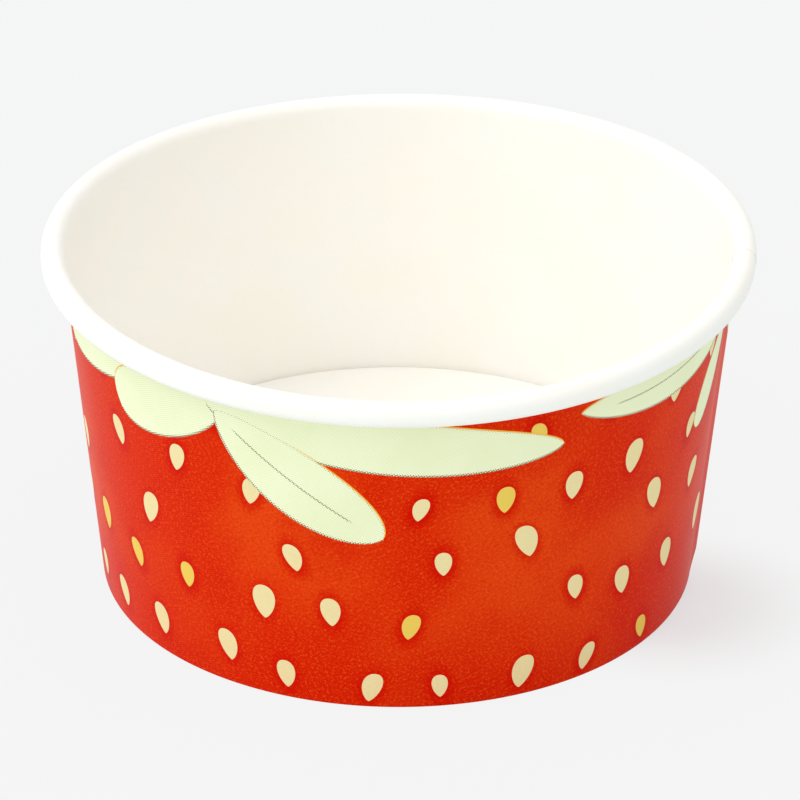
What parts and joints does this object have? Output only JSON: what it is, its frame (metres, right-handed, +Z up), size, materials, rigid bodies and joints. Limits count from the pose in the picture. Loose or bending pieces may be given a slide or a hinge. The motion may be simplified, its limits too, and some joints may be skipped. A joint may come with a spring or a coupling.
{
  "type": "paper dessert cup",
  "caption": "Squat round cup of coated paperboard with a rolled rim, a lapped side seam, a folded hem and a recessed base disc.",
  "frame": {"origin": "on the axis of the cup, in the plane of the table that it stands on", "axes": "+Z up along the axis of the cup; the picture looks along +Y; the side seam lies at about +X"},
  "size_m": [0.095, 0.095, 0.0495],
  "materials": {
    "printed_board": "printed and varnished outside, coated pale board inside and on the rim",
    "base_board": "coated, satin"
  },
  "bodies": {
    "root": {"sidewall": "printed_board", "base_disc": "base_board"}
  },
  "joints": []
}
